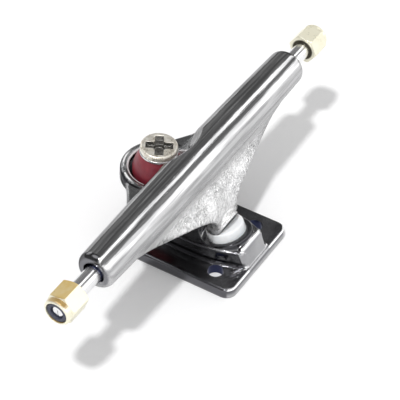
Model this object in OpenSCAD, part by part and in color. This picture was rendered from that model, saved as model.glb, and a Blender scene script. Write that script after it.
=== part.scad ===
// Miniature skateboard truck: a cast hanger on a solid axle, steering in a cast baseplate.
// Lengths are in millimetres and angles in degrees.
// X runs along the axle, +Y from the pivot to the kingpin, +Z up from the deck face of the baseplate.
// The origin is the middle of the four mounting holes, on the baseplate's flat underside.

/* [Axle and nuts] */

// Length over both axle nuts
truck_w = 34; // [32:0.5:38]
// Length of the hanger bar
hanger_w = 25.6; // [24:0.2:27]
// Diameter of the bare axle that a wheel turns on
axle_d = 1.24; // [1.1:0.02:1.36]
// Height of the axle above the deck face
axle_z = 7.47; // [7.3:0.05:7.9]
// Width across the flats of an axle nut
nut_af = 2.04; // [1.9:0.02:2.2]
// Length of an axle nut with its collar
nut_len = 2.1; // [1.8:0.1:2.4]

/* [Hanger] */

// Diameter of the hanger bar at its middle
bar_d = 3.16; // [3:0.02:3.3]
// How far the front web reaches along the bar, on each side
web_reach = 9.6; // [8.6:0.2:10.4]
// Outer diameter of the yoke ring around the kingpin
yoke_d = 5.4; // [5.2:0.1:5.8]

/* [Baseplate] */

// Width of the baseplate, along the axle
plate_w = 8.1; // [7.9:0.1:9]
// Length of the baseplate
plate_l = 11; // [10.8:0.1:12]
// Thickness of the plate round its edge
plate_t = 0.8; // [0.7:0.05:0.9]
// Spacing of the mounting holes along the axle
hole_dx = 5.4; // [5.3:0.05:5.7]
// Spacing of the mounting holes along the board
hole_dy = 7.2; // [7:0.1:7.6]
// Diameter of a mounting hole
hole_d = 1.2; // [1:0.05:1.3]

/* [Kingpin] */

// Lean of the kingpin towards the axle
kingpin_lean = 4; // [2:0.5:5]
// Diameter of the kingpin's shank
kingpin_d = 1; // [0.9:0.02:1.06]
// Diameter of the kingpin's head
head_d = 2.7; // [2.4:0.1:2.8]
// Angle of the cross recess in the head
recess_turn = 31; // [0:1:90]

/* [Node] */

// Which sub-part to draw

/* [Hidden] */

// Smoothness of turned faces, of small bores and of arcs in an outline
turned_fn = 96;
bore_fn = 48;
arc_steps = 8;

// Clearance of a thread or a turning shaft on the radius, and how far a cut runs past its face
run_fit = 0.02;
past = 0.2;

// Axle: journals between the bar and the nuts, then thinner threaded ends
truck_half = truck_w / 2;
hanger_half = hanger_w / 2;
nut_face_x = truck_half - nut_len;
axle_r = axle_d / 2;
thread_r = axle_r * 0.74;
tip_inset = 0.2;
tip_bevel = 0.08;
axle_y = -0.35;

// Axle nut: a bevelled hexagon, a domed collar and a nylon ring let into its face
collar_len = nut_len * 0.2;
collar_r = nut_af * 0.49;
insert_r = 0.8;
insert_len = 0.62;
collar_round = 0.18;
hex_bevel = 0.16;
near_nut_turn = 20;
far_nut_turn = 37;

// Hanger bar: fattest in the middle, with rounded ends bored out around the axle
bar_r = bar_d / 2;
bar_end_r = bar_r * 0.88;
bar_round = 0.5;
core_r = axle_r + 0.19;
mouth_depth = 0.55;
root_gap = 0.04;
bar_steps = 28;

// Baseplate body that carries the pivot cup at the front and the kingpin at the back,
// and how far the plate's middle lies in front of the holes' middle
body_top = 2;
kingpin_boss_top = 2.25;
kingpin_boss_r = 1.7;
plate_y = -0.15;
plate_corner_r = 0.8;
plate_bevel = 0.12;

// Pivot cup, leaning towards the kingpin in a boss with a recess round its mouth
cup_y = -2.88;
cup_z = 2.01;
cup_lean = 20;
cup_r = 1.42;
cup_rim_r = 1.4;
cup_rim_h = 0.7;
cup_depth = 0.9;
boss_r = 1.86;
boss_h = 1.4;
boss_bevel = 0.08;

// Kingpin stack, measured along the kingpin from the deck face
kingpin_foot_y = 3.32;
washer_t = 0.2;
lower_bushing_r = 1.75;
lower_bushing_s = kingpin_boss_top + washer_t;
ring_floor_low = 4.7;
ring_floor_top = 5.05;
ring_low = 4.35;
ring_top = 5.55;
top_washer_s = 6.98;
top_washer_r = head_d / 2 + 0.04;
head_s = top_washer_s + washer_t;
head_t = 0.4;
bushing_base_r = 1.83;
bushing_tip_r = head_d / 2 - 0.02;
lower_washer_r = 1.5;
shank_r = kingpin_d / 2;
bushing_bore_r = shank_r + 0.05;
pocket_depth = 1;
king_nut_wall = 0.47;
king_nut_af = kingpin_d + 2 * king_nut_wall;
king_nut_t = 0.86;

// Yoke ring of the hanger, and the flared notch in the bar that gives a driver room at the kingpin's head
yoke_r = yoke_d / 2;
seat_r = 2.09;
notch_y = 4.6;
notch_r = 3.8;
notch_flare = 0.56;
notch_low = 0.9;
under_seat_r = lower_bushing_r + 0.12;
ring_bore_r = shank_r + 0.28;
lip_round = 0.26;

// Steering axis: from the middle of the pivot ball, level with the cup's rim, to the middle of the yoke ring
pivot = [0, cup_y + cup_rim_h * sin(cup_lean), cup_z + cup_rim_h * cos(cup_lean)];
yoke_mid_s = (ring_floor_top + ring_floor_low) / 2 + 0.2;
yoke_mid = [0, kingpin_foot_y - yoke_mid_s * sin(kingpin_lean), yoke_mid_s * cos(kingpin_lean)];
steer_tilt = atan2(yoke_mid[2] - pivot[2], yoke_mid[1] - pivot[1]);

// Pivot ball with a flat in front, square to the steering axis, and its clearance in the cup
ball_r = 1.28;
ball_flat = 0.23;
ball_fit = 0.04;

// A point on a cubic curve with four control points
function curve(p, t) =
    p[0] * pow(1 - t, 3) + p[1] * 3 * t * pow(1 - t, 2)
    + p[2] * 3 * t * t * (1 - t) + p[3] * pow(t, 3);

// Parameter at which a rising curve reaches the value v in coordinate k
function reach(p, k, v, lo = 0, hi = 1, n = 16) =
    n == 0 ? (lo + hi) / 2
    : curve(p, (lo + hi) / 2)[k] < v ? reach(p, k, v, (lo + hi) / 2, hi, n - 1)
    : reach(p, k, v, lo, (lo + hi) / 2, n - 1);

// Radius of the bar at a distance x from its middle
function bar_at(x) = bar_r - (bar_r - bar_end_r) * pow(x / hanger_half, 2);

// Closed solid through a row of outlines that all have the same number of points.
// Seen from the last outline, each one runs counter-clockwise.
module skin(rows) {
    n = len(rows[0]);
    last = len(rows) - 1;
    sides = [for (i = [0 : last - 1], j = [0 : n - 1])
        each [[i * n + j, (i + 1) * n + j, i * n + (j + 1) % n],
              [i * n + (j + 1) % n, (i + 1) * n + j, (i + 1) * n + (j + 1) % n]]];
    start = [[for (j = [0 : n - 1]) j]];
    end = [[for (j = [n - 1 : -1 : 0]) last * n + j]];
    polyhedron(points = [for (row = rows) each row], faces = concat(start, sides, end), convexity = 6);
}

// Puts what is drawn along +Z onto the kingpin, at a distance s from the deck face
module on_kingpin(s) {
    translate([0, kingpin_foot_y, 0])
        rotate([kingpin_lean, 0, 0])
            translate([0, 0, s])
                children();
}

// Puts what is drawn along +Z onto the axle line, pointing to +X
module on_axle(x = 0) {
    translate([x, axle_y, axle_z])
        rotate([0, 90, 0])
            children();
}

// Turns what is drawn around Z onto the steering axis, with the pivot's middle at the origin
module on_steering() {
    translate(pivot)
        rotate([steer_tilt - 90, 0, 0])
            children();
}

// Puts what is drawn along +Z onto the pivot cup's axis, at a height h above its boss
module on_cup(h = 0) {
    translate([0, cup_y, cup_z])
        rotate([-cup_lean, 0, 0])
            translate([0, 0, h])
                children();
}

// Ball with one flat, both about the steering axis, grown by g all round
module pivot_ball(g = 0) {
    on_steering()
        intersection() {
            sphere(r = ball_r + g, $fn = turned_fn);
            translate([-2 * ball_r, -2 * ball_r, -ball_flat - g])
                cube(4 * ball_r);
        }
}

// Bar of the hanger: a turned body whose radius follows bar_at, with rounded ends
module bar() {
    straight = hanger_half - bar_round;
    side = [for (i = [-bar_steps / 2 : bar_steps / 2])
        [bar_at(i * 2 / bar_steps * straight), i * 2 / bar_steps * straight]];
    round_r = bar_at(straight);
    nose = [for (i = [1 : arc_steps]) [round_r - bar_round * (1 - cos(i * 90 / arc_steps)),
                                       straight + bar_round * sin(i * 90 / arc_steps)]];
    tail = [for (i = [arc_steps : -1 : 1]) [nose[i - 1][0], -nose[i - 1][1]]];
    on_axle()
        rotate_extrude($fn = turned_fn)
            polygon(concat([[0, -hanger_half]], tail, side, nose, [[0, hanger_half]]));
}

// Side view of the web's front face, from the pivot ball up into the bar: pairs of Y and Z
chin_rise = 0.4;
chin = [pivot[1] - ball_flat * cos(steer_tilt) - chin_rise * sin(steer_tilt),
        pivot[2] - ball_flat * sin(steer_tilt) + chin_rise * cos(steer_tilt)];
scoop_back = 0.34;
scoop_z = 5.1;
scoop = [pivot[1] - scoop_back, scoop_z];
entry_turn = 203;
entry_depth = 0.98;
entry_pull = 1.12;

function web_entry(x) = [axle_y, axle_z] + [cos(entry_turn), sin(entry_turn)] * bar_at(x) * entry_depth;
function web_front(x) = [chin, scoop, web_entry(x) + [-sin(entry_turn), cos(entry_turn)] * entry_pull, web_entry(x)];

// Front view of the web's lower edge, from beside the neck out to the bar: pairs of X and Z
neck_half = 1.22;
neck_rise = 0.43;
hip_half = 1.27;
hip_z = 4.53;
sweep_half = 2.95;
sweep_z = 4.41;
neck = [neck_half, pivot[2] + neck_rise];
hip = [hip_half, hip_z];
sweep = [sweep_half, sweep_z];
edge_end_rise = 0.69;
function web_edge() = [neck, hip, sweep, [web_reach, axle_z - bar_at(web_reach) + edge_end_rise]];

web_thick = 0.95;
web_thin = 0.45;
web_back_in = [0.9, -0.85];
front_steps = 9;
round_steps = 4;
back_steps = 3;

// Thickness of the web's lower edge, which thins towards the ends of the bar
function web_t(x) = web_thin + (web_thick - web_thin) * pow(1 - min(1, x / web_reach), 1.5);

// One cross-section of the web, in the plane at x, with its lower edge at the height low
function web_row(x, low) =
    let (ax = abs(x),
         t = web_t(ax),
         r = t * 0.35,
         front = web_front(ax),
         from = reach(front, 1, low + r),
         foot = curve(front, from),
         back = [axle_y, axle_z] + web_back_in * bar_at(ax) / bar_r,
         heel = foot + [t, 0])
    concat(
        [for (i = [front_steps : -1 : 0]) let (p = curve(front, from + (1 - from) * i / front_steps)) [x, p[0], p[1]]],
        [for (i = [1 : round_steps]) let (a = 180 + i * 90 / round_steps) [x, foot[0] + r + r * cos(a), low + r + r * sin(a)]],
        [for (i = [0 : round_steps - 1]) let (a = 270 + i * 90 / round_steps) [x, heel[0] - r + r * cos(a), low + r + r * sin(a)]],
        [for (i = [0 : back_steps]) let (p = heel + (back - heel) * i / back_steps) [x, p[0], p[1]]]);

edge_steps = 15;
web_side = [for (i = [0 : edge_steps]) curve(web_edge(), i / edge_steps)];

// Web of the hanger: one lofted casting from the bar down to the pivot ball
module web() {
    skin(concat([for (i = [edge_steps : -1 : 0]) web_row(-web_side[i][0], web_side[i][1])],
                [for (x = [-neck[0] / 2, 0, neck[0] / 2]) web_row(x, neck[1])],
                [for (i = [0 : edge_steps]) web_row(web_side[i][0], web_side[i][1])]));
}

// Plan of the arms' edge, from the back of the ring to the bar: pairs of X and Y
arm_start_half = 2.3;
arm_start_back = 1.4;
arm_waist_half = 2.6;
arm_waist_back = 0.65;
arm_sweep_half = 4.1;
arm_sweep_back = 0.1;
arm_end_half = 7;
arm_end_back = 1.2;
arm_start = [arm_start_half, yoke_mid[1] + arm_start_back];
arm_waist = [arm_waist_half, yoke_mid[1] + arm_waist_back];
arm_sweep = [arm_sweep_half, yoke_mid[1] + arm_sweep_back];
arm_end = [arm_end_half, axle_y + arm_end_back];
arm_top_z = 5.52;
arm_low_z = 4.5;
arm_rise = 1.4;
arm_low_rise = 0.9;
arm_round = 0.22;
arm_stations = 16;
climb_y = yoke_mid[1] - 0.35;

// One cross-section of the arms: a flat bar with rounded sides that climbs once it is behind the bar
function arm_row(u) =
    let (p = curve([arm_start, arm_waist, arm_sweep, arm_end], u),
         climb = max(0, (climb_y - p[1]) / (climb_y - arm_end[1])),
         top = arm_top_z + arm_rise * climb,
         low = arm_low_z + arm_low_rise * climb,
         w = p[0] - arm_round)
    concat(
        [for (i = [0 : round_steps]) let (a = 90 - i * 90 / round_steps)
            [w + arm_round * cos(a), p[1], top - arm_round + arm_round * sin(a)]],
        [for (i = [0 : round_steps]) let (a = -i * 90 / round_steps)
            [w + arm_round * cos(a), p[1], low + arm_round + arm_round * sin(a)]],
        [for (i = [0 : round_steps]) let (a = -90 - i * 90 / round_steps)
            [-w + arm_round * cos(a), p[1], low + arm_round + arm_round * sin(a)]],
        [for (i = [0 : round_steps]) let (a = 180 - i * 90 / round_steps)
            [-w + arm_round * cos(a), p[1], top - arm_round + arm_round * sin(a)]]);

module arms() {
    skin([for (i = [0 : arm_stations]) arm_row(1 - i / arm_stations)]);
}

// Ring of the yoke, with its raised lip, before its seats are cut
module ring() {
    lip = [for (i = [0 : arc_steps]) [yoke_r - lip_round + lip_round * sin(i * 90 / arc_steps),
                                      ring_top - lip_round + lip_round * cos(i * 90 / arc_steps)]];
    on_kingpin(0)
        rotate_extrude($fn = turned_fn)
            polygon(concat([[0, ring_low], [0, ring_top]], lip,
                           [[yoke_r, ring_low + lip_round], [yoke_r - lip_round, ring_low]]));
}

module hanger() {
    seat_bevel = 0.08;
    color([0.5, 0.5, 0.52])
        difference() {
            union() {
                bar();
                web();
                pivot_ball();
                arms();
                ring();
            }
            on_axle()
                cylinder(r = core_r, h = hanger_w + 2 * past, center = true, $fn = bore_fn);
            on_kingpin(ring_floor_top)
                cylinder(r = seat_r, h = axle_z + bar_r - ring_floor_top + past, $fn = turned_fn);
            translate([0, notch_y, axle_z - notch_low])
                cylinder(r1 = notch_r - notch_low * notch_flare, r2 = notch_r + (bar_r + past) * notch_flare,
                         h = notch_low + bar_r + past, $fn = 2 * turned_fn);
            on_kingpin(ring_top - seat_bevel)
                cylinder(r1 = seat_r, r2 = seat_r + 2 * seat_bevel, h = 2 * seat_bevel, $fn = turned_fn);
            on_kingpin(ring_low - past)
                cylinder(r = under_seat_r, h = ring_floor_low - ring_low + past, $fn = turned_fn);
            on_kingpin(ring_low)
                cylinder(r = ring_bore_r, h = ring_top - ring_low, $fn = bore_fn);
        }
}

// Axle: a thick core held in the bar, a cone down to the journal at each end, and a threaded tip
module axle() {
    half_tip = truck_half - tip_inset;
    core_half = hanger_half - mouth_depth;
    right = [[core_r, core_half], [axle_r, hanger_half + root_gap], [axle_r, nut_face_x], [thread_r, nut_face_x],
             [thread_r, half_tip - tip_bevel], [thread_r - tip_bevel, half_tip]];
    left = [for (i = [len(right) - 1 : -1 : 0]) [right[i][0], -right[i][1]]];
    color([0.8, 0.8, 0.8])
        on_axle()
            rotate_extrude($fn = bore_fn)
                polygon(concat([[0, -half_tip]], left, right, [[0, half_tip]]));
}

// Hexagon with bevelled corners, standing on z = 0
module hexagon(af, h, bevel) {
    corner = af / 2 / cos(30);
    intersection() {
        cylinder(r = corner, h = h, $fn = 6);
        rotate_extrude($fn = turned_fn)
            polygon([[0, 0], [corner - bevel, 0], [corner + past, (bevel + past) / 2],
                     [corner + past, h - (bevel + past) / 2], [corner - bevel, h], [0, h]]);
    }
}

// Axle nut that points to +Z, with its flat seat on z = 0
module axle_nut() {
    dome = [for (i = [0 : arc_steps]) [collar_r - collar_round + collar_round * cos(i * 90 / arc_steps),
                                       nut_len - collar_round + collar_round * sin(i * 90 / arc_steps)]];
    hex_len = nut_len - collar_len;
    difference() {
        union() {
            hexagon(nut_af, hex_len, hex_bevel);
            rotate_extrude($fn = turned_fn)
                polygon(concat([[0, hex_len / 2], [collar_r, hex_len / 2]], dome, [[0, nut_len]]));
        }
        translate([0, 0, -past])
            cylinder(r = thread_r + run_fit, h = nut_len + 2 * past, $fn = bore_fn);
        translate([0, 0, nut_len - insert_len])
            cylinder(r = insert_r, h = insert_len + past, $fn = turned_fn);
    }
}

// Nylon ring that fills the collar of an axle nut
module nut_insert() {
    sunk = 0.05;
    inner = thread_r + run_fit;
    edge = 0.1;
    translate([0, 0, nut_len - insert_len])
        rotate_extrude($fn = turned_fn)
            polygon([[inner, 0], [insert_r, 0], [insert_r, insert_len - sunk - edge],
                     [insert_r - edge, insert_len - sunk], [inner + edge / 2, insert_len - sunk],
                     [inner, insert_len - sunk - edge / 2]]);
}

module axle_nut_left() {
    color([0.8, 0.7, 0.42])
        on_axle(-nut_face_x)
            rotate([0, 180, near_nut_turn])
                axle_nut();
}

module axle_nut_right() {
    color([0.8, 0.7, 0.42])
        on_axle(nut_face_x)
            rotate([0, 0, far_nut_turn])
                axle_nut();
}

module nut_insert_left() {
    color([0.12, 0.13, 0.2])
        on_axle(-nut_face_x)
            rotate([0, 180, 0])
                nut_insert();
}

module nut_insert_right() {
    color([0.12, 0.13, 0.2])
        on_axle(nut_face_x)
            nut_insert();
}

// Plan of the baseplate's body: half widths along Y, from the pivot end to the kingpin end
body_front = -5.02;
body_foot_front = -5.45;
body_back = kingpin_foot_y + 1.7;
body_front_half = 1.55;
body_corner = 0.5;
body_waist_half = 2.2;
body_waist_y = -0.6;
body_back_half = 1.98;
body_side = [[body_front_half, body_front + body_corner], [body_front_half + 0.4, -3.6],
             [body_waist_half + 0.05, -2.6], [body_waist_half, body_waist_y]];
body_rear = [[body_waist_half, body_waist_y], [body_waist_half, 1.2],
             [body_back_half + 0.12, 1.6], [body_back_half, kingpin_foot_y]];
body_steps = 7;
end_steps = 8;

// Where the ramp at the body's front is at a height z
function ramp_y(z) = body_front + (body_foot_front - body_front) * (body_top - z) / (body_top - plate_t);

// Half of the body's outline, grown outwards by g and with its front face at y = f
function body_half(g, f) = concat(
    [for (i = [0 : 3]) let (a = -90 + i * 30)
        [body_front_half + g - body_corner * (1 - cos(a)), f + body_corner * (1 + sin(a))]],
    [for (i = [1 : body_steps]) let (p = curve(body_side, i / body_steps)) [p[0] + g, p[1]]],
    [for (i = [1 : body_steps]) let (p = curve(body_rear, i / body_steps)) [p[0] + g, p[1]]],
    [for (i = [1 : end_steps]) let (a = i * 90 / end_steps)
        [(body_back_half + g) * cos(a), kingpin_foot_y + (body_back + g - kingpin_foot_y) * sin(a)]]);

function body_row(z, g) =
    let (half = body_half(g, ramp_y(z)),
         n = len(half))
    concat([for (i = [0 : n - 1]) [half[i][0], half[i][1], z]],
           [for (i = [n - 2 : -1 : 0]) [-half[i][0], half[i][1], z]]);

// Body of the baseplate: lofted sides that sweep out in a fillet where they meet the plate
module body() {
    foot = 0.3;
    fillet = [for (i = [0 : 4]) let (a = i * 90 / 4) [plate_t + foot * (1 - cos(a)) - 0.01 * (4 - i) / 4,
                                                      foot * (1 - sin(a))]];
    edge = 0.12;
    skin(concat([body_row(plate_t - foot / 4, foot)],
                [for (p = fillet) body_row(p[0], p[1])],
                [body_row(body_top - edge, 0), body_row(body_top - edge / 4, -edge / 4), body_row(body_top, -edge)]));
}

// Flat outline with rounded corners
module rounded(w, l, r) {
    square([w - 2 * r, l], center = true);
    square([w, l - 2 * r], center = true);
    for (x = [-1, 1], y = [-1, 1])
        translate([x * (w / 2 - r), y * (l / 2 - r)])
            circle(r = r, $fn = 32);
}

// Ridge across the front of the body, where the ramp that rises from the plate's edge ends
module ridge() {
    top_z = 2.3;
    half = 1.25;
    round = 0.15;
    foot_half = body_front_half - body_corner;
    foot_back = 0.75;
    foot_z = 1.8;
    skin_fit = 0.01;
    hull() {
        for (x = [-1, 1])
            translate([x * (half - round), ramp_y(top_z) + round, top_z - round])
                sphere(r = round, $fn = bore_fn);
        translate([-foot_half, ramp_y(foot_z) + skin_fit, foot_z])
            cube([2 * foot_half, foot_back, (body_top - foot_z) / 2]);
    }
}

module baseplate() {
    pocket_corner = (king_nut_af / 2 + 0.03) / cos(30);
    color([0.22, 0.22, 0.24])
        difference() {
            union() {
                translate([0, plate_y, 0])
                    hull() {
                        linear_extrude(height = plate_t - plate_bevel)
                            rounded(plate_w, plate_l, plate_corner_r);
                        linear_extrude(height = plate_t)
                            rounded(plate_w - 2 * plate_bevel, plate_l - 2 * plate_bevel,
                                    plate_corner_r - plate_bevel);
                    }
                body();
                ridge();
                on_cup(-boss_h)
                    cylinder(r = boss_r, h = boss_h - boss_bevel, $fn = turned_fn);
                on_cup(-boss_bevel)
                    cylinder(r1 = boss_r, r2 = boss_r - boss_bevel, h = boss_bevel, $fn = turned_fn);
                on_kingpin(plate_t)
                    cylinder(r = kingpin_boss_r, h = kingpin_boss_top - plate_t, $fn = turned_fn);
            }
            for (x = [-1, 1], y = [-1, 1])
                translate([x * hole_dx / 2, y * hole_dy / 2, -past])
                    cylinder(r = hole_d / 2, h = 2 * body_top, $fn = bore_fn);
            on_cup()
                cylinder(r = boss_r + 0.03, h = body_top, $fn = turned_fn);
            on_cup(-cup_depth)
                cylinder(r = cup_r, h = cup_depth + past, $fn = turned_fn);
            on_kingpin(-past)
                cylinder(r = bushing_bore_r, h = kingpin_boss_top + 2 * past, $fn = bore_fn);
            on_kingpin(-pocket_depth)
                cylinder(r = pocket_corner, h = 2 * pocket_depth, $fn = 6);
        }
}

// Pivot cup: a nylon plug with a rounded rim, hollowed to the shape of the pivot ball
module pivot_cup() {
    edge = 0.07;
    rim_round = 0.12;
    rim = [for (i = [0 : arc_steps]) [cup_rim_r - rim_round + rim_round * cos(i * 90 / arc_steps),
                                      cup_rim_h - rim_round + rim_round * sin(i * 90 / arc_steps)]];
    color([0.93, 0.95, 0.96])
        difference() {
            on_cup()
                rotate_extrude($fn = turned_fn)
                    polygon(concat([[0, -cup_depth], [cup_r - edge, -cup_depth], [cup_r, -cup_depth + edge],
                                    [cup_r, 0], [cup_rim_r, 0]], rim, [[0, cup_rim_h]]));
            pivot_ball(ball_fit);
        }
}

// Cross recess: two tapered blades that cross at a right angle, widest at the mouth, round a deeper hub
module recess() {
    reach_r = head_d * 0.4;
    arm_half = head_d * 0.13;
    depth = head_t * 0.75;
    hub_r = head_d * 0.24;
    hub_depth = head_t * 1.3;
    taper = 0.75;
    for (turn = [0, 90])
        rotate(turn)
            hull() {
                translate([0, 0, past])
                    cube([2 * reach_r, 2 * arm_half, past], center = true);
                translate([0, 0, -depth / 2])
                    cube([2 * reach_r * taper, 2 * arm_half * taper, depth], center = true);
            }
    translate([0, 0, -hub_depth])
        cylinder(r1 = hub_r / 2, r2 = hub_r, h = hub_depth + past, $fn = bore_fn);
}

module kingpin_screw() {
    head_r = head_d / 2;
    round = 0.16;
    crown = [for (i = [0 : arc_steps]) [head_r - round + round * cos(i * 90 / arc_steps),
                                        head_s + head_t - round + round * sin(i * 90 / arc_steps)]];
    tip = 0.16;
    color([0.8, 0.78, 0.74])
        difference() {
            on_kingpin(0)
                rotate_extrude($fn = turned_fn)
                    polygon(concat([[0, tip], [shank_r - tip_bevel, tip], [shank_r, tip + tip_bevel],
                                    [shank_r, head_s], [head_r, head_s]],
                                   crown, [[0, head_s + head_t]]));
            on_kingpin(head_s + head_t)
                rotate(recess_turn)
                    recess();
        }
}

module kingpin_nut() {
    color([0.8, 0.78, 0.74])
        on_kingpin(pocket_depth - king_nut_t)
            difference() {
                hexagon(king_nut_af, king_nut_t, hex_bevel / 2);
                translate([0, 0, -past])
                    cylinder(r = shank_r + run_fit, h = king_nut_t + 2 * past, $fn = bore_fn);
            }
}

// Flat washer on the kingpin, with its lower face at the distance s
module washer(s, r) {
    edge = 0.04;
    bore = bushing_bore_r;
    on_kingpin(s)
        rotate_extrude($fn = turned_fn)
            polygon([[bore, 0], [r - edge, 0], [r, edge], [r, washer_t - edge], [r - edge, washer_t], [bore, washer_t]]);
}

module top_washer() {
    color([0.8, 0.8, 0.8])
        washer(top_washer_s, top_washer_r);
}

module lower_washer() {
    color([0.8, 0.8, 0.8])
        washer(kingpin_boss_top, lower_washer_r);
}

// Upper bushing: a rounded cone of soft urethane, seated inside the lip of the ring
module top_bushing() {
    shoulder_s = ring_floor_top + 0.2;
    side = [[bushing_base_r, shoulder_s], [bushing_base_r, shoulder_s + 0.6],
            [bushing_tip_r + 0.3, shoulder_s + 1.05], [bushing_tip_r, top_washer_s - 0.05]];
    steps = 10;
    color([0.55, 0.18, 0.22])
        on_kingpin(0)
            rotate_extrude($fn = turned_fn)
                polygon(concat([[bushing_bore_r, ring_floor_top], [bushing_base_r - 0.06, ring_floor_top],
                                [bushing_base_r, ring_floor_top + 0.06]],
                               [for (i = [0 : steps]) curve(side, i / steps)],
                               [[bushing_tip_r - 0.05, top_washer_s], [bushing_bore_r, top_washer_s]]));
}

// Lower bushing: a barrel of the same urethane between the boss and the ring
module lower_bushing() {
    bulge = 0.08;
    steps = 6;
    h = ring_floor_low - lower_bushing_s;
    side = [for (i = [0 : steps]) [lower_bushing_r - bulge + bulge * sin(i * 180 / steps),
                                   lower_bushing_s + h * i / steps]];
    color([0.55, 0.18, 0.22])
        on_kingpin(0)
            rotate_extrude($fn = turned_fn)
                polygon(concat([[bushing_bore_r, lower_bushing_s]], side, [[bushing_bore_r, ring_floor_low]]));
}

baseplate();
pivot_cup();
hanger();
axle();
axle_nut_left();
axle_nut_right();
nut_insert_left();
nut_insert_right();
kingpin_screw();
kingpin_nut();
top_washer();
top_bushing();
lower_bushing();
lower_washer();
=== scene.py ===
"""Looks of a miniature skateboard truck on a white studio floor.

The CAD nodes keep their shapes and places: this script adds materials, a camera, a floor and
lights. Objects are in metres. The materials count in millimetres of the CAD frame.
"""

import math

import bpy
from mathutils import Matrix, Vector

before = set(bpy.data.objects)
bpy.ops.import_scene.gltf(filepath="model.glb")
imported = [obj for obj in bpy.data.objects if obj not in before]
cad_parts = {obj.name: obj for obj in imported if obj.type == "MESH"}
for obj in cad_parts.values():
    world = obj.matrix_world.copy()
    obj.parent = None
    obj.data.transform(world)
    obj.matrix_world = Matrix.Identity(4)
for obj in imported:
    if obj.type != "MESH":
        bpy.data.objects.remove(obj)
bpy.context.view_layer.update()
scene = bpy.context.scene

MM = 0.001

# Sizes and places of the CAD parts that the materials go by, in millimetres
AXLE_Y, AXLE_Z = -0.35, 7.47
BAR_R, BAR_HALF = 1.58, 12.8
NUT_FACE, NUT_COLLAR = 14.9, 16.58
THREAD_PITCH = 0.25
KINGPIN_Y = 3.32
KINGPIN_LEAN = math.radians(4)
HEAD_R, HEAD_TOP = 1.35, 7.58
RING_R, SEAT_R = 2.7, 2.09
RING_LOW, RING_TOP = 4.35, 5.55
PLATE_SIDE, PLATE_FRONT, PLATE_BACK, PLATE_TOP = 4.05, -5.65, 5.35, 0.8
BODY_FRONT, BODY_TOP, RAMP_HALF = -5.02, 2.0, 1.55
HOLE_X, HOLE_Y, HOLE_R = 2.7, 3.6, 0.6


# Camera, at the photograph's viewing angle

CAMERA_AT = Vector((-76.2096, -47.0068, 88.0380)) * MM
CAMERA_RIGHT = Vector((0.527273, -0.849648, 0.009031))
CAMERA_UP = Vector((0.579208, 0.367180, 0.727803))
SENSOR_WIDTH, FOCAL_LENGTH = 36, 155.577
CLIP_START, CLIP_END = 0.005, 20


def make_camera():
    data = bpy.data.cameras.new("camera")
    data.sensor_width = SENSOR_WIDTH
    data.lens = FOCAL_LENGTH
    data.clip_start, data.clip_end = CLIP_START, CLIP_END
    camera = bpy.data.objects.new("camera", data)
    scene.collection.objects.link(camera)
    right, up, at = CAMERA_RIGHT, CAMERA_UP, CAMERA_AT
    back = right.cross(up)
    camera.matrix_world = Matrix((
        (right.x, up.x, back.x, at.x),
        (right.y, up.y, back.y, at.y),
        (right.z, up.z, back.z, at.z),
        (0, 0, 0, 1)))
    scene.camera = camera


# Helpers for node trees

# Sockets of a Mix node that mixes colours
MIX_SHARE, MIX_A, MIX_B, MIX_RESULT = 0, 6, 7, 2


def grey(value, more_blue=0.0):
    return (value, value, value + more_blue)


def opaque(colour):
    return (*colour, 1)


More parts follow.
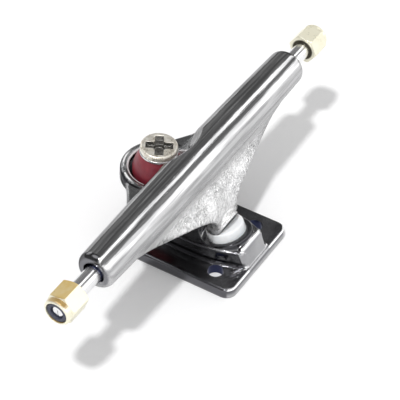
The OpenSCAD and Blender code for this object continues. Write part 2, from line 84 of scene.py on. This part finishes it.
class Tree:
    """Short calls that add nodes to one material's or world's tree."""

    def __init__(self, tree):
        self.nodes, self.links = tree.nodes, tree.links

    def add(self, kind, **settings):
        node = self.nodes.new(kind)
        for key, value in settings.items():
            setattr(node, key, value)
        return node

    def put(self, value, socket):
        if isinstance(value, bpy.types.NodeSocket):
            self.links.new(value, socket)
        else:
            socket.default_value = value

    # Numbers

    def math(self, op, *values):
        node = self.add("ShaderNodeMath", operation=op)
        for value, socket in zip(values, node.inputs):
            self.put(value, socket)
        return node.outputs[0]

    def chain(self, op, first, *others):
        for other in others:
            first = self.math(op, first, other)
        return first

    def product(self, *values):
        return self.chain("MULTIPLY", *values)

    def total(self, *values):
        return self.chain("ADD", *values)

    def most(self, *values):
        return self.chain("MAXIMUM", *values)

    def inverse(self, share):
        return self.math("SUBTRACT", 1.0, share)

    def length(self, a, b):
        """Length of the vector (a, b)."""
        return self.math("SQRT", self.total(self.product(a, a), self.product(b, b)))

    def span(self, value, low, high, out_low=0.0, out_high=1.0):
        """Smooth step from out_low at low to out_high at high."""
        node = self.add("ShaderNodeMapRange", interpolation_type="SMOOTHSTEP")
        self.put(value, node.inputs["Value"])
        for name, number in (("From Min", low), ("From Max", high),
                             ("To Min", out_low), ("To Max", out_high)):
            node.inputs[name].default_value = number
        return node.outputs["Result"]

    def mix(self, share, start, end):
        """Smooth step from start to end as a share goes from 0 to 1."""
        return self.span(share, 0.0, 1.0, start, end)

    def band(self, value, start, full, fade, end):
        """1 from full to fade, and 0 before start and past end."""
        return self.product(self.span(value, start, full), self.span(value, end, fade))

    # Colours

    def blend(self, share, a, b):
        node = self.add("ShaderNodeMix", data_type="RGBA")
        self.put(share, node.inputs[MIX_SHARE])
        for colour, place in ((a, MIX_A), (b, MIX_B)):
            plain = not isinstance(colour, bpy.types.NodeSocket)
            self.put(opaque(colour) if plain else colour, node.inputs[place])
        return node.outputs[MIX_RESULT]

    def mottle(self, noise, dark, light, low=0.3, high=0.7):
        """Colour that wanders between two tones as a noise does."""
        return self.blend(self.span(noise, low, high), dark, light)

    def ramp(self, value, stops):
        node = self.add("ShaderNodeValToRGB")
        elements = node.color_ramp.elements
        while len(elements) > 1:
            elements.remove(elements[-1])
        for i, (place, colour) in enumerate(stops):
            element = elements[0] if i == 0 else elements.new(place)
            element.position = place
            element.color = opaque(colour)
        self.put(value, node.inputs[0])
        return node.outputs[0]

    # Places, in millimetres

    def place(self, stretch=(1, 1, 1)):
        """Position in the CAD frame, stretched for a texture."""
        node = self.add("ShaderNodeTexCoord")
        scaled = self.add("ShaderNodeVectorMath", operation="MULTIPLY")
        self.links.new(node.outputs["Object"], scaled.inputs[0])
        scaled.inputs[1].default_value = [s / MM for s in stretch]
        return scaled.outputs[0]

    def axes(self):
        node = self.add("ShaderNodeSeparateXYZ")
        self.links.new(self.place(), node.inputs[0])
        return node.outputs

    def axle_radius(self, y, z):
        """Distance from the axle line."""
        return self.length(self.math("SUBTRACT", z, AXLE_Z), self.math("SUBTRACT", y, AXLE_Y))

    def on_kingpin(self, x, y, z):
        """Distance from the kingpin's axis, and height along it."""
        back = self.math("SUBTRACT", y, KINGPIN_Y)
        sine, cosine = math.sin(KINGPIN_LEAN), math.cos(KINGPIN_LEAN)
        along = self.math("SUBTRACT", self.product(z, cosine), self.product(back, sine))
        across = self.total(self.product(z, sine), self.product(back, cosine))
        return self.length(x, across), along

    # Textures and normals

    def noise(self, size, stretch=(1, 1, 1), detail=3.0, rough=0.55, distort=0.0):
        node = self.add("ShaderNodeTexNoise")
        self.links.new(self.place(stretch), node.inputs["Vector"])
        for name, number in (("Scale", 1 / size), ("Detail", detail),
                             ("Roughness", rough), ("Distortion", distort)):
            node.inputs[name].default_value = number
        return node.outputs[0]

    def crease(self, noise):
        """0 along the lines where a noise crosses its middle value."""
        return self.math("ABSOLUTE", self.math("SUBTRACT", noise, 0.5))

    def bump(self, height, depth, normal=None):
        """Normal that a height tilts, by a depth in millimetres."""
        node = self.add("ShaderNodeBump")
        node.inputs["Strength"].default_value = 1.0
        node.inputs["Distance"].default_value = depth * MM
        self.put(height, node.inputs["Height"])
        if normal is not None:
            self.links.new(normal, node.inputs["Normal"])
        return node.outputs[0]

    def facing_up(self):
        """How far the surface itself faces up, from -1 to 1."""
        geometry = self.add("ShaderNodeNewGeometry")
        parts = self.add("ShaderNodeSeparateXYZ")
        self.links.new(geometry.outputs["True Normal"], parts.inputs[0])
        return parts.outputs[2]

    def soft_edges(self, radius, samples=6):
        """Normal that rounds sharp edges off, by a radius in millimetres."""
        node = self.add("ShaderNodeBevel", samples=samples)
        if isinstance(radius, bpy.types.NodeSocket):
            self.put(self.product(radius, MM), node.inputs["Radius"])
        else:
            node.inputs["Radius"].default_value = radius * MM
        return node.outputs[0]

    def edge_wear(self, soft):
        """1 on edges, where the soft_edges normal leaves the plain one, and 0 elsewhere."""
        geometry = self.add("ShaderNodeNewGeometry")
        dot = self.add("ShaderNodeVectorMath", operation="DOT_PRODUCT")
        self.links.new(soft, dot.inputs[0])
        self.links.new(geometry.outputs["Normal"], dot.inputs[1])
        return self.span(dot.outputs["Value"], 0.99, 0.75)


def new_material(name):
    material = bpy.data.materials.new(name)
    material.use_nodes = True
    tree = Tree(material.node_tree)
    shader = tree.nodes["Principled BSDF"]
    return material, tree, shader


# Materials

def metal(name, dark, light, rough, grain, grain_depth, wave=1.2, wave_depth=0.01,
          stretch=(1, 1, 1), edge=0.05, worn=None):
    """Plated metal: a colour that varies a little, worn edges, uneven polish and a fine skin."""
    material, t, shader = new_material(name)
    patch = t.noise(2.2, detail=4.0)
    fine = t.noise(grain, stretch, detail=4.0, rough=0.6)
    colour = t.mottle(patch, dark, light)
    if worn:
        wear = t.product(t.edge_wear(t.soft_edges(0.08)), 0.6)
        colour = t.blend(wear, colour, worn)
    t.put(colour, shader.inputs["Base Color"])
    shader.inputs["Metallic"].default_value = 1.0
    t.put(t.total(t.span(patch, 0.3, 0.75, *rough), t.span(fine, 0.4, 0.8, -0.02, 0.05)),
          shader.inputs["Roughness"])
    wavy = t.bump(t.noise(wave, detail=1.0), wave_depth, t.soft_edges(edge))
    t.put(t.bump(fine, grain_depth, wavy), shader.inputs["Normal"])
    return material, t, shader


def ring_marks(t, x, y, z):
    """Yoke ring: shares for painted shade on its outer side and inner hole, and painted glints on
    lip and rim.
    """
    radius, along = t.on_kingpin(x, y, z)
    behind_arms = t.span(y, 2.5, 2.9)
    # Painted shade on the outer side wall, and down the inner hole by the bushing
    wall = t.product(t.band(radius, RING_R - 0.14, RING_R - 0.06, RING_R + 0.05, RING_R + 0.1),
                     behind_arms)
    seat_painted_shade = t.product(t.span(radius, SEAT_R, SEAT_R - 0.02),
                     t.span(along, RING_LOW - 0.05, RING_LOW + 0.15))
    # Painted glints on the lip at the back left, and on the inner rim
    lip = t.product(t.band(radius, RING_R - 0.32, RING_R - 0.28, RING_R - 0.19, RING_R - 0.15),
                    behind_arms, t.span(x, 0.4, -0.4), t.span(y, 3.2, 3.9),
                    t.span(t.noise(0.9), 0.32, 0.4))
    rim = t.band(radius, SEAT_R - 0.01, SEAT_R + 0.01, SEAT_R + 0.1, SEAT_R + 0.13)
    top = t.span(along, RING_TOP - 0.25, RING_TOP - 0.15)
    return t.most(wall, seat_painted_shade), t.product(t.most(lip, rim), top)


def hanger_metal():
    """Polished plated casting: the bar is drawn along its length, the web keeps a cast skin."""
    material, t, shader = new_material("hanger_metal")
    x, y, z = t.axes()
    out = t.math("ABSOLUTE", x)

    # Zones: the bar, the web in front of it, and the rest, which is the arms and the yoke ring
    off_bar = t.most(t.span(t.axle_radius(y, z), BAR_R - 0.03, BAR_R + 0.17),
                     t.span(z, 7.0, 6.4))
    on_bar = t.inverse(off_bar)
    web = t.product(off_bar, t.span(y, -0.9, -1.7))
    rest = t.math("SUBTRACT", off_bar, web)
    cast = t.product(web, t.span(z, 6.9, 6.1, 0.15, 1.0))
    end_face = t.span(out, BAR_HALF - 0.12, BAR_HALF - 0.02)
    # Painted shade on the rounding at the bar's ends, which dims its glints
    end_round_painted_shade = t.product(t.span(out, BAR_HALF - 0.5, BAR_HALF - 0.4), t.span(y, -0.75, -0.55))
    satin = t.product(t.band(z, 5.9, 6.5, 7.2, 8.1), t.span(y, -0.9, -1.4))
    web_joint = t.band(z, 5.4, 5.9, 6.75, 7.25)
    ring_painted_shade, painted_glint = ring_marks(t, x, y, z)
    painted_glint = t.product(painted_glint, rest)

    # Textures: drawn along the bar, wrinkled and veined on the web
    patch = t.noise(2.6, detail=4.0)
    drawn = t.noise(0.13, (0.05, 1, 1), detail=3.0)
    streak = t.noise(0.34, (0.06, 1, 1), detail=2.0)
    sway = t.noise(1.3, (0.2, 1, 1), detail=2.0)
    skin = t.noise(0.5, detail=3.0, rough=0.55)
    grit = t.noise(0.2, detail=4.0, rough=0.7)
    vein = t.crease(t.noise(0.42, (1.2, 1.0, 0.7), detail=4.0, distort=1.6))
    veined = t.product(cast, t.span(z, 2.9, 3.5), t.span(out, 5.2, 3.2))
    wrinkle = t.crease(t.noise(0.55, (1.2, 1.0, 0.75), detail=3.0, rough=0.6, distort=1.5))
    wrinkle = t.product(wrinkle, t.span(t.noise(1.5, detail=1.0), 0.36, 0.6, 0.25, 1.0))

    # Colour
    bar = t.mottle(streak, grey(0.38, 0.005), grey(0.62, 0.005), 0.35, 0.65)
    # Painted light: the bar's underside is a lighter, even grey
    bar = t.blend(t.span(z, 7.8, 7.1), bar, grey(0.56, 0.005))
    # Painted shade on the rounded bar ends
    bar = t.blend(end_round_painted_shade, bar, grey(0.12, 0.005))
    bar = t.blend(end_face, bar, grey(0.22, 0.015))
    front = t.mottle(patch, grey(0.61, 0.005), grey(0.73))
    # Painted shade: the web darkens towards its tip by the cup
    front = t.blend(t.span(z, 3.9, 2.6), front, grey(0.36, 0.005))
    front = t.blend(t.product(veined, t.span(vein, 0.045, 0.01)), front, grey(0.85))
    front = t.blend(t.product(veined, t.span(vein, 0.09, 0.15, 0.0, 0.5)), front,
                    grey(0.50, 0.005))
    ring = t.mottle(patch, (0.30, 0.305, 0.31), (0.44, 0.445, 0.45))
    # Painted shade on the ring's outer wall and down its inner hole
    ring = t.blend(ring_painted_shade, ring, grey(0.05, 0.005))
    edges = t.soft_edges(t.mix(web_joint, 0.3, 0.8), samples=12)
    worn = t.product(t.edge_wear(edges), t.mix(rest, 0.3, 0.2), t.inverse(end_round_painted_shade))
    colour = t.blend(rest, t.blend(web, bar, front), ring)
    # Worn edges, and the painted glints on the ring, take a pale grey
    t.put(t.blend(t.most(worn, painted_glint), colour, grey(0.88)), shader.inputs["Base Color"])

    # Polish
    # Metallic falls to 0 at the painted glints, so they show white under any light
    t.put(t.product(t.mix(satin, 1.0, 0.42), t.inverse(painted_glint)), shader.inputs["Metallic"])
    shader.inputs["Specular Tint"].default_value = opaque(grey(0.5))
    t.put(t.total(t.span(drawn, 0.3, 0.75, 0.02, 0.05), t.product(cast, 0.13),
                  t.product(end_face, 0.18), t.product(satin, 0.22), t.product(rest, 0.03)),
          shader.inputs["Roughness"])

    # Relief: texture, where it shows, and its depth
    normal = edges
    for height, where, depth in ((wrinkle, cast, 0.38), (grit, cast, 0.04),
                                 (drawn, on_bar, 0.006), (sway, on_bar, 0.03),
                                 (skin, rest, 0.09)):
        normal = t.bump(t.product(height, where), depth, normal)
    t.put(normal, shader.inputs["Normal"])
    return material


def base_metal():
    """Dark plated casting: a satin top painted dark as shade, lighter flanks, and bright edges
    where tumbled.
    """
    material, t, shader = new_material("base_metal")
    x, y, z = t.axes()
    out = t.math("ABSOLUTE", x)
    up = t.facing_up()
    patch = t.noise(1.8, detail=4.0)

    # Zones, by place
    front_edge = t.span(y, PLATE_FRONT + 0.45, PLATE_FRONT + 0.3)
    beside_ramp = t.span(out, RAMP_HALF - 0.3, RAMP_HALF - 0.05)
    rim = t.most(t.span(out, PLATE_SIDE - 0.55, PLATE_SIDE - 0.45),
                 t.span(y, PLATE_FRONT + 0.85, PLATE_FRONT + 0.75),
                 t.span(y, PLATE_BACK - 0.5, PLATE_BACK - 0.4))
    hole = t.length(t.math("SUBTRACT", out, HOLE_X),
                    t.math("SUBTRACT", t.math("ABSOLUTE", y), HOLE_Y))
    # Painted shade down the walls of the mounting holes
    bore_painted_shade = t.product(t.span(hole, HOLE_R + 0.04, HOLE_R + 0.01),
                     t.span(z, PLATE_TOP - 0.01, PLATE_TOP - 0.06))
    plate = t.span(z, PLATE_TOP + 0.04, PLATE_TOP - 0.02)
    foot = t.product(t.span(z, PLATE_TOP + 0.5, PLATE_TOP + 0.3),
                     t.most(t.span(y, BODY_FRONT + 0.42, BODY_FRONT + 0.72), beside_ramp))
    shoulder = t.product(t.span(z, BODY_TOP - 0.25, BODY_TOP - 0.15),
                         t.span(y, BODY_FRONT + 0.2, BODY_FRONT + 0.32))
    shaded = t.most(foot, shoulder)
    ridge = t.product(t.span(z, BODY_TOP + 0.05, BODY_TOP + 0.14),
                      t.span(y, BODY_FRONT + 0.3, BODY_FRONT + 0.18))

    # Zones, by how far they face up
    flat = t.span(up, 0.9, 0.98)
    chamfer = t.product(t.band(up, 0.35, 0.5, 0.85, 0.95), front_edge,
                        t.mix(beside_ramp, 0.35, 1.0))

    # Colour
    flank = t.mottle(patch, grey(0.30, 0.01), grey(0.40, 0.01))
    # Painted shade: the flat top is far darker than the flanks
    top = t.mottle(patch, grey(0.085, 0.005), grey(0.13, 0.005))
    # Painted light and shade: dark plate sides, a front lighter low down, near black foot and
    # shoulder
    plate_side_painted_light_and_shade = t.blend(t.product(front_edge, t.span(z, 0.6, 0.1)), grey(0.12, 0.01),
                         grey(0.42, 0.01))
    flank = t.blend(plate, t.blend(shaded, flank, grey(0.05, 0.005)), plate_side_painted_light_and_shade)
    rounded = t.most(rim, t.span(z, PLATE_TOP + 0.2, PLATE_TOP + 0.4))
    edges = t.soft_edges(t.product(rounded, 0.26), samples=16)
    worn = t.product(t.edge_wear(edges), t.mix(plate, 0.9, 0.25), t.mix(shaded, 1.0, 0.2))
    colour = t.blend(t.most(worn, chamfer, ridge), t.blend(flat, flank, top), grey(0.80, 0.01))
    # Painted shade, dark blue, on the walls of the mounting holes
    t.put(t.blend(bore_painted_shade, colour, (0.03, 0.035, 0.075)), shader.inputs["Base Color"])

    # Polish and relief
    shader.inputs["Metallic"].default_value = 1.0
    t.put(t.total(t.span(patch, 0.3, 0.75, 0.07, 0.13), t.product(flat, 0.14)),
          shader.inputs["Roughness"])
    normal = edges
    for height, depth in ((t.noise(1.4, detail=1.0), 0.015), (t.noise(0.45, detail=2.0), 0.015),
                          (t.noise(0.2, detail=4.0, rough=0.6), 0.006)):
        normal = t.bump(height, depth, normal)
    t.put(normal, shader.inputs["Normal"])
    return material


def screw_metal():
    """Satin plated steel, with painted shade down in the cross recess."""
    material, t, shader = new_material("screw_steel")
    patch = t.noise(0.5, detail=4.0, rough=0.65)
    fine = t.noise(0.09, detail=3.0, rough=0.6)
    radius, along = t.on_kingpin(*t.axes())
    recess = t.product(
        t.band(along, HEAD_TOP - 0.63, HEAD_TOP - 0.58, HEAD_TOP - 0.08, HEAD_TOP - 0.015),
        t.span(radius, HEAD_R - 0.13, HEAD_R - 0.19))
    # Painted shade: a dark mottled colour down in the cross recess
    painted_shade = t.mottle(fine, (0.02, 0.02, 0.018), (0.24, 0.23, 0.21), 0.35, 0.65)
    colour = t.blend(recess, t.mottle(patch, (0.62, 0.56, 0.46), (0.95, 0.92, 0.84)), painted_shade)
    edges = t.soft_edges(0.06)
    worn = t.product(t.edge_wear(edges), 0.7)
    t.put(t.blend(worn, colour, (0.93, 0.91, 0.87)), shader.inputs["Base Color"])
    shader.inputs["Metallic"].default_value = 0.65
    t.put(t.span(patch, 0.3, 0.7, 0.24, 0.38), shader.inputs["Roughness"])
    normal = t.bump(t.noise(0.5, detail=2.0), 0.02, edges)
    t.put(t.bump(fine, 0.01, normal), shader.inputs["Normal"])
    return material


def axle_metal():
    """Bright turned steel, with a rolled thread beyond each journal."""
    material, t, shader = metal("axle_steel", grey(0.80, 0.01), grey(0.88), (0.14, 0.22),
                                grain=0.08, grain_depth=0.006, stretch=(3, 0.6, 0.6),
                                wave_depth=0.0)
    x, y, z = t.axes()
    out = t.math("ABSOLUTE", x)
    # Painted shade: dark blue on the axle where it goes into the bar
    mouth_painted_shade = t.span(out, BAR_HALF + 0.06, BAR_HALF + 0.02)
    skin = shader.inputs["Base Color"].links[0].from_socket
    t.put(t.blend(mouth_painted_shade, skin, (0.07, 0.08, 0.15)), shader.inputs["Base Color"])
    turn = t.math("ARCTAN2", t.math("SUBTRACT", z, AXLE_Z), t.math("SUBTRACT", y, AXLE_Y))
    phase = t.total(t.math("DIVIDE", x, THREAD_PITCH), t.math("DIVIDE", turn, 2 * math.pi))
    threaded = t.span(out, NUT_FACE + 0.02, NUT_FACE + 0.08)
    thread = t.product(t.math("PINGPONG", phase, 0.5), threaded)
    plain = shader.inputs["Normal"].links[0].from_socket
    t.put(t.bump(thread, 0.16, plain), shader.inputs["Normal"])
    return material


def gold_plate():
    """Pale gold plate, with painted shade: deeper gold on the near nut's top, and near black round
    the axle.
    """
    material, t, shader = metal("gold_plate", (0.88, 0.84, 0.64), (0.95, 0.92, 0.76),
                                (0.26, 0.38), grain=0.1, grain_depth=0.008, wave=0.8,
                                wave_depth=0.014, edge=0.07, worn=(0.96, 0.92, 0.78))
    x, y, z = t.axes()
    out = t.math("ABSOLUTE", x)
    # Painted shade round the axle on the nuts' inner faces
    seat_painted_shade = t.product(t.span(t.axle_radius(y, z), 0.9, 0.78),
                     t.span(out, NUT_FACE + 0.2, NUT_FACE + 0.06))
    # Painted shade: the near nut's upward facets take a deeper gold, darker towards its collar
    top = t.span(t.facing_up(), 0.55, 0.85)
    painted_shade = t.product(top, t.span(x, 0.0, -1.0), t.span(t.noise(1.1), 0.3, 0.6, 0.75, 1.0))
    collar = t.span(out, NUT_COLLAR - 0.13, NUT_COLLAR + 0.02)
    skin = shader.inputs["Base Color"].links[0].from_socket
    skin = t.blend(painted_shade, skin, t.blend(collar, (0.72, 0.52, 0.19), (0.46, 0.30, 0.10)))
    t.put(t.blend(seat_painted_shade, skin, (0.05, 0.045, 0.03)), shader.inputs["Base Color"])
    t.put(t.mix(top, 0.8, 0.25), shader.inputs["Metallic"])
    return material


def nylon(name, dark, light, rough, glow=0.0):
    """Satin nylon. The glow is how much light goes through its skin."""
    material, t, shader = new_material(name)
    patch = t.noise(0.9, detail=3.0)
    fine = t.noise(0.09, detail=3.0)
    t.put(t.mottle(patch, dark, light), shader.inputs["Base Color"])
    t.put(t.span(patch, 0.3, 0.7, rough, rough + 0.1), shader.inputs["Roughness"])
    shader.inputs["Subsurface Weight"].default_value = glow
    shader.inputs["Subsurface Radius"].default_value = (0.3, 0.32, 0.34)
    shader.inputs["Subsurface Scale"].default_value = MM
    t.put(t.bump(fine, 0.008, t.soft_edges(0.06)), shader.inputs["Normal"])
    return material


def urethane():
    """Soft cast urethane: satin, a little see-through at thin edges, with faint flow marks."""
    material, t, shader = new_material("red_urethane")
    patch = t.noise(1.3, (1, 1, 1.6), detail=3.0, distort=0.8)
    fine = t.noise(0.12, detail=3.0)
    t.put(t.mottle(patch, (0.19, 0.020, 0.034), (0.26, 0.028, 0.042)),
          shader.inputs["Base Color"])
    t.put(t.span(patch, 0.3, 0.7, 0.34, 0.46), shader.inputs["Roughness"])
    shader.inputs["Subsurface Weight"].default_value = 0.25
    shader.inputs["Subsurface Radius"].default_value = (0.6, 0.12, 0.12)
    shader.inputs["Subsurface Scale"].default_value = MM
    t.put(t.bump(fine, 0.008, t.bump(patch, 0.03)), shader.inputs["Normal"])
    return material


def washer_metal():
    """Bright plated steel."""
    return metal("washer_steel", grey(0.72, 0.01), grey(0.82), (0.14, 0.22), grain=0.1,
                 grain_depth=0.006, wave=0.6, wave_depth=0.008, edge=0.04)[0]


def dress_all():
    for material, nodes in (
            (base_metal(), ["baseplate"]),
            (hanger_metal(), ["hanger"]),
            (axle_metal(), ["axle"]),
            (gold_plate(), ["axle_nut_left", "axle_nut_right"]),
            (nylon("dark_nylon", (0.035, 0.04, 0.065), (0.05, 0.055, 0.085), 0.4),
             ["nut_insert_left", "nut_insert_right"]),
            (screw_metal(), ["kingpin_screw", "kingpin_nut"]),
            (washer_metal(), ["top_washer", "lower_washer"]),
            (urethane(), ["top_bushing", "lower_bushing"]),
            (nylon("white_nylon", (0.89, 0.93, 0.955), (0.94, 0.965, 0.98), 0.3, glow=0.5),
             ["pivot_cup"])):
        for node in nodes:
            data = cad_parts[node].data
            data.materials.clear()
            data.materials.append(material)


# Studio: white floor, soft key light and a surround that the metal mirrors

FLOOR_R, FLOOR_CORNERS = 1.5, 48
FLOOR_DROP = 0.02 * MM
FLOOR_GLOW = 0.07

SUN_FROM = Vector((-0.36, -0.01, 0.93))
SUN_STRENGTH = 1.65
SUN_ANGLE = math.radians(5)

# Angle about the X axis, where 0 is +Y and 90 is straight up, and the brightness mirrored there
LIT = 2.0
SURROUND = (
    (0, 0.24), (8, 0.22), (20, 0.26), (29, 0.22), (31, 0.36), (34, 0.2), (43, 0.16), (50, 0.2),
    (53, 0.46), (56, 0.2), (65, 0.15), (77, 0.18), (88, 0.28), (90, 0.3), (91, LIT), (107, LIT),
    (109, 0.24), (118, 0.26), (126, 0.36), (134, 0.36), (138, 1.6), (141, LIT), (166, LIT),
    (173, 1.4), (180, 0.95))
# Round light boxes: the direction to each, and its half width in degrees
ROUND_BOXES = (((0.20, 0.89, 0.40), 13), ((-0.25, 0.36, 0.89), 19))
BELOW = grey(0.95)
DIFFUSE = grey(0.52, 0.005)


def make_floor():
    mesh = bpy.data.meshes.new("floor")
    turns = [2 * math.pi * i / FLOOR_CORNERS for i in range(FLOOR_CORNERS)]
    points = [(0, 0, 0)] + [(FLOOR_R * math.cos(a), FLOOR_R * math.sin(a), 0) for a in turns]
    faces = [(0, i + 1, (i + 1) % FLOOR_CORNERS + 1) for i in range(FLOOR_CORNERS)]
    mesh.from_pydata(points, [], faces)
    floor = bpy.data.objects.new("floor", mesh)
    scene.collection.objects.link(floor)
    floor.location.z = -FLOOR_DROP
    material, t, shader = new_material("floor")
    shader.inputs["Base Color"].default_value = opaque(grey(0.94))
    shader.inputs["Roughness"].default_value = 0.9
    shader.inputs["Specular IOR Level"].default_value = 0.0
    ray = t.add("ShaderNodeLightPath").outputs
    seen = t.most(ray["Is Camera Ray"], ray["Is Glossy Ray"], ray["Is Transmission Ray"])
    t.put(t.product(seen, FLOOR_GLOW), shader.inputs["Emission Strength"])
    shader.inputs["Emission Color"].default_value = opaque(grey(1))
    mesh.materials.append(material)


def make_sun():
    sun = bpy.data.lights.new("key", "SUN")
    sun.energy = SUN_STRENGTH
    sun.angle = SUN_ANGLE
    key = bpy.data.objects.new("key", sun)
    scene.collection.objects.link(key)
    key.rotation_mode = "QUATERNION"
    key.rotation_quaternion = SUN_FROM.to_track_quat("Z", "Y")


def make_world():
    """White to the camera, plain grey to rough surfaces, and the surround to mirrors."""
    world = bpy.data.worlds.new("studio")
    scene.world = world
    world.use_nodes = True
    t = Tree(world.node_tree)
    t.nodes.clear()
    direction = t.add("ShaderNodeTexCoord").outputs["Generated"]
    split = t.add("ShaderNodeSeparateXYZ")
    t.links.new(direction, split.inputs[0])
    y, z = split.outputs[1:]
    turn = t.math("DIVIDE", t.math("ARCTAN2", z, y), math.pi)
    mirrored = t.ramp(turn, [(angle / 180, grey(value)) for angle, value in SURROUND])
    for aim, half in ROUND_BOXES:
        toward = t.add("ShaderNodeVectorMath", operation="DOT_PRODUCT")
        t.links.new(direction, toward.inputs[0])
        toward.inputs[1].default_value = Vector(aim).normalized()
        share = t.span(toward.outputs["Value"], math.cos(math.radians(half + 2)),
                       math.cos(math.radians(half - 1)))
        mirrored = t.blend(share, mirrored, grey(LIT))
    mirrored = t.blend(t.math("LESS_THAN", z, 0.0), mirrored, BELOW)
    ray = t.add("ShaderNodeLightPath").outputs
    colour = t.blend(ray["Is Camera Ray"], mirrored, grey(1))
    colour = t.blend(ray["Is Diffuse Ray"], colour, DIFFUSE)
    background = t.add("ShaderNodeBackground")
    t.put(colour, background.inputs["Color"])
    background.inputs["Strength"].default_value = 1.0
    output = t.add("ShaderNodeOutputWorld")
    t.links.new(background.outputs[0], output.inputs[0])


make_camera()
make_floor()
make_sun()
make_world()
dress_all()
scene.view_settings.view_transform = "Standard"
